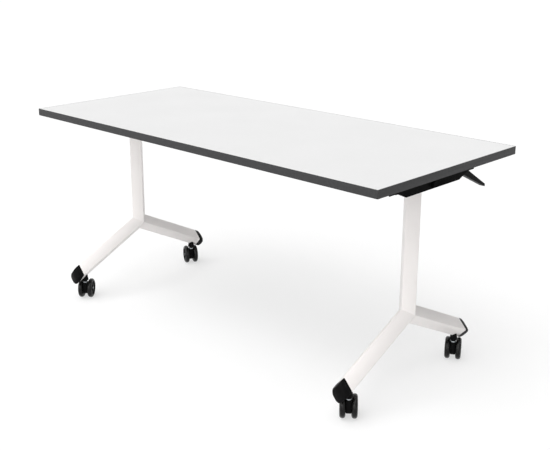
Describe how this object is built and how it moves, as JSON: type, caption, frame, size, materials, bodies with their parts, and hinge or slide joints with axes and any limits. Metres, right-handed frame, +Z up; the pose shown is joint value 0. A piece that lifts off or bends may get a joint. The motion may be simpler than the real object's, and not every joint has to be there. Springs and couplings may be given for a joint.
{
  "type": "flip_top_training_table",
  "caption": "Flip top training table: white laminate top with a dark grey edge on white inverted Y legs with twin-wheel castors and a black release lever under the end",
  "frame": {"origin": "centre of the outline on the floor", "axes": "+X along the table towards the end with the lever, +Y to the side of the lever, +Z up"},
  "size_m": [1.6, 0.7, 0.75],
  "materials": {
    "white_laminate": "satin white melamine on particle board",
    "grey_edging": "matt dark grey edge band",
    "white_powder_coat": "smooth white powder coat on steel tube",
    "black_powder_coat": "fine black powder coat on steel",
    "black_moulding": "black moulded nylon with a soft sheen",
    "grey_moulding": "grey moulded acetal",
    "wheel_polymer": "black moulded wheel with a soft tread",
    "zinc_steel": "bright zinc plate"
  },
  "bodies": {
    "frame": {"left_upright": "white_powder_coat", "right_upright": "white_powder_coat", "left_front_foot": "white_powder_coat", "left_rear_foot": "white_powder_coat", "right_front_foot": "white_powder_coat", "right_rear_foot": "white_powder_coat", "left_front_cap": "black_moulding", "left_rear_cap": "black_moulding", "right_front_cap": "black_moulding", "right_rear_cap": "black_moulding", "left_front_stem": "zinc_steel", "left_rear_stem": "zinc_steel", "right_front_stem": "zinc_steel", "right_rear_stem": "zinc_steel", "cross_beam": "black_powder_coat", "left_leg_head": "black_powder_coat", "right_leg_head": "black_powder_coat", "left_pivot_axle": "zinc_steel", "right_pivot_axle": "zinc_steel", "left_lock_disc": "zinc_steel", "right_lock_disc": "zinc_steel", "left_axle_nut": "black_powder_coat", "right_axle_nut": "black_powder_coat", "left_front_collar": "black_moulding", "left_rear_collar": "black_moulding", "right_front_collar": "black_moulding", "right_rear_collar": "black_moulding"},
    "top": {"tabletop_board": "white_laminate", "edge_band": "grey_edging", "left_flip_bracket": "black_powder_coat", "right_flip_bracket": "black_powder_coat", "left_inner_bush": "grey_moulding", "left_outer_bush": "grey_moulding", "right_inner_bush": "grey_moulding", "right_outer_bush": "grey_moulding", "left_bolt_guide": "black_moulding", "right_bolt_guide": "black_moulding"},
    "release": {"release_shaft": "zinc_steel", "release_lever": "black_moulding", "left_crank": "zinc_steel", "right_crank": "zinc_steel", "lever_spring": "zinc_steel"},
    "left_bolt": {"left_latch_bolt": "zinc_steel"},
    "right_bolt": {"right_latch_bolt": "zinc_steel"},
    "left_front_castor": {"left_front_castor_body": "black_moulding", "left_front_castor_axle": "zinc_steel"},
    "left_rear_castor": {"left_rear_castor_body": "black_moulding", "left_rear_castor_axle": "zinc_steel"},
    "right_front_castor": {"right_front_castor_body": "black_moulding", "right_front_castor_axle": "zinc_steel"},
    "right_rear_castor": {"right_rear_castor_body": "black_moulding", "right_rear_castor_axle": "zinc_steel"},
    "left_front_roller_1": {"left_front_wheel_1": "wheel_polymer"},
    "left_front_roller_2": {"left_front_wheel_2": "wheel_polymer"},
    "left_rear_roller_1": {"left_rear_wheel_1": "wheel_polymer"},
    "left_rear_roller_2": {"left_rear_wheel_2": "wheel_polymer"},
    "right_front_roller_1": {"right_front_wheel_1": "wheel_polymer"},
    "right_front_roller_2": {"right_front_wheel_2": "wheel_polymer"},
    "right_rear_roller_1": {"right_rear_wheel_1": "wheel_polymer"},
    "right_rear_roller_2": {"right_rear_wheel_2": "wheel_polymer"}
  },
  "joints": [
    {"name": "top_flip", "type": "hinge", "parent": "frame", "child": "top", "pos_m": [0, 0, 0.687], "axis": [1, 0, 0], "range_deg": [0, 90]},
    {"name": "lever_pull", "type": "hinge", "parent": "top", "child": "release", "pos_m": [0.7, 0.15, 0.702], "axis": [1, 0, 0], "range_deg": [0, 22], "stiffness_Nm_per_rad": 2},
    {"name": "left_bolt_slide", "type": "slide", "parent": "top", "child": "left_bolt", "axis": [0, 1, 0], "range_m": [0, 0.0057]},
    {"name": "right_bolt_slide", "type": "slide", "parent": "top", "child": "right_bolt", "axis": [0, 1, 0], "range_m": [0, 0.0057]},
    {"name": "left_front_swivel", "type": "hinge", "parent": "frame", "child": "left_front_castor", "pos_m": [-0.666, -0.276, 0.05], "axis": [0, 0, 1], "continuous": true},
    {"name": "left_rear_swivel", "type": "hinge", "parent": "frame", "child": "left_rear_castor", "pos_m": [-0.666, 0.276, 0.05], "axis": [0, 0, 1], "continuous": true},
    {"name": "right_front_swivel", "type": "hinge", "parent": "frame", "child": "right_front_castor", "pos_m": [0.666, -0.276, 0.05], "axis": [0, 0, 1], "continuous": true},
    {"name": "right_rear_swivel", "type": "hinge", "parent": "frame", "child": "right_rear_castor", "pos_m": [0.666, 0.276, 0.05], "axis": [0, 0, 1], "continuous": true},
    {"name": "left_front_roll_1", "type": "hinge", "parent": "left_front_castor", "child": "left_front_roller_1", "pos_m": [-0.67564, -0.26451, 0.03726], "axis": [0.766, 0.6428, 0], "continuous": true},
    {"name": "left_front_roll_2", "type": "hinge", "parent": "left_front_castor", "child": "left_front_roller_2", "pos_m": [-0.67564, -0.26451, 0.03726], "axis": [0.766, 0.6428, 0], "continuous": true},
    {"name": "left_rear_roll_1", "type": "hinge", "parent": "left_rear_castor", "child": "left_rear_roller_1", "pos_m": [-0.67899, 0.2835, 0.03726], "axis": [0.5, 0.866, 0], "continuous": true},
    {"name": "left_rear_roll_2", "type": "hinge", "parent": "left_rear_castor", "child": "left_rear_roller_2", "pos_m": [-0.67899, 0.2835, 0.03726], "axis": [0.5, 0.866, 0], "continuous": true},
    {"name": "right_front_roll_1", "type": "hinge", "parent": "right_front_castor", "child": "right_front_roller_1", "pos_m": [0.65636, -0.26451, 0.03726], "axis": [0.766, 0.6428, 0], "continuous": true},
    {"name": "right_front_roll_2", "type": "hinge", "parent": "right_front_castor", "child": "right_front_roller_2", "pos_m": [0.65636, -0.26451, 0.03726], "axis": [0.766, 0.6428, 0], "continuous": true},
    {"name": "right_rear_roll_1", "type": "hinge", "parent": "right_rear_castor", "child": "right_rear_roller_1", "pos_m": [0.6585, 0.28899, 0.03726], "axis": [0.866, 0.5, 0], "continuous": true},
    {"name": "right_rear_roll_2", "type": "hinge", "parent": "right_rear_castor", "child": "right_rear_roller_2", "pos_m": [0.6585, 0.28899, 0.03726], "axis": [0.866, 0.5, 0], "continuous": true}
  ],
  "couplings": [
    {"joint": "left_bolt_slide", "follows": "lever_pull", "m_per_rad": 0.0146},
    {"joint": "right_bolt_slide", "follows": "lever_pull", "m_per_rad": 0.0146}
  ]
}
